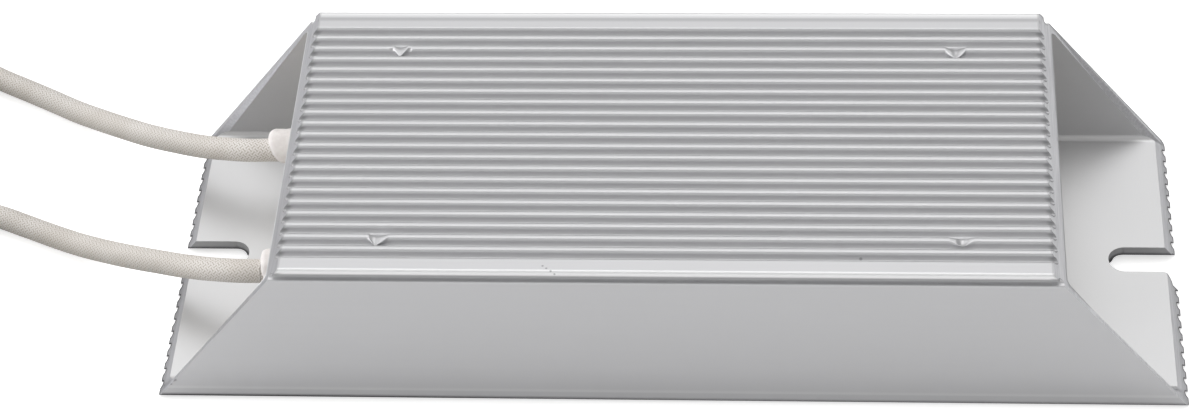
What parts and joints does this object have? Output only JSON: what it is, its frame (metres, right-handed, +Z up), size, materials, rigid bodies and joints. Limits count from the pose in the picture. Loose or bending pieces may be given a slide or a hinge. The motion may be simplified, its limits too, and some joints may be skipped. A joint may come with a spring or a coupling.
{
  "type": "aluminium housed power resistor",
  "caption": "Finned aluminium tube with mitred, slotted ends, holding wound resistor cores cast in cement, with two insulated leads coming out of one end.",
  "frame": {"origin": "centre of the housing's mounting face", "axes": "+X along the housing away from the leads, +Y to the rear across it, +Z up from the mounting face to the fins"},
  "size_m": [0.2565, 0.096, 0.03],
  "materials": {
    "housing_metal": "satin, bead blasted",
    "mica": "layered mica paper",
    "cement": "matte, sandy",
    "board": "matte fibre cement board",
    "core_ceramic": "unglazed steatite",
    "resistance_wire": "oxidised nickel chrome",
    "plated_steel": "dull nickel plate",
    "tinned_metal": "tin plated",
    "conductor_strands": "bare stranded copper",
    "lead_braid": "matte silicone rubber with a glass fibre braid",
    "bush_silicone": "matte silicone",
    "tie_plastic": "natural nylon"
  },
  "bodies": {
    "root": {"housing": "housing_metal", "liner_base": "mica", "liner_top": "mica", "liner_rear": "mica", "liner_front": "mica", "cement_fill": "cement", "end_board_left": "board", "end_board_right": "board", "core_rear": "core_ceramic", "core_front": "core_ceramic", "winding_rear": "resistance_wire", "winding_front": "resistance_wire", "sleeve_rear": "mica", "sleeve_front": "mica", "cap_rear_lead": "plated_steel", "cap_rear_link": "plated_steel", "cap_front_lead": "plated_steel", "cap_front_link": "plated_steel", "link_strap": "plated_steel", "crimp_rear": "tinned_metal", "crimp_front": "tinned_metal", "conductor_rear": "conductor_strands", "conductor_front": "conductor_strands", "lead_root_rear": "lead_braid", "lead_root_front": "lead_braid", "bush_rear": "bush_silicone", "bush_front": "bush_silicone", "lead_rear": "lead_braid", "lead_front": "lead_braid", "coil_rear": "lead_braid", "coil_front": "lead_braid", "tail_rear": "lead_braid", "tail_front": "lead_braid", "coil_tie_rear": "tie_plastic", "coil_tie_front": "tie_plastic", "wire_end_rear": "conductor_strands", "wire_end_front": "conductor_strands", "ferrule_rear": "tinned_metal", "ferrule_front": "tinned_metal"}
  },
  "joints": []
}
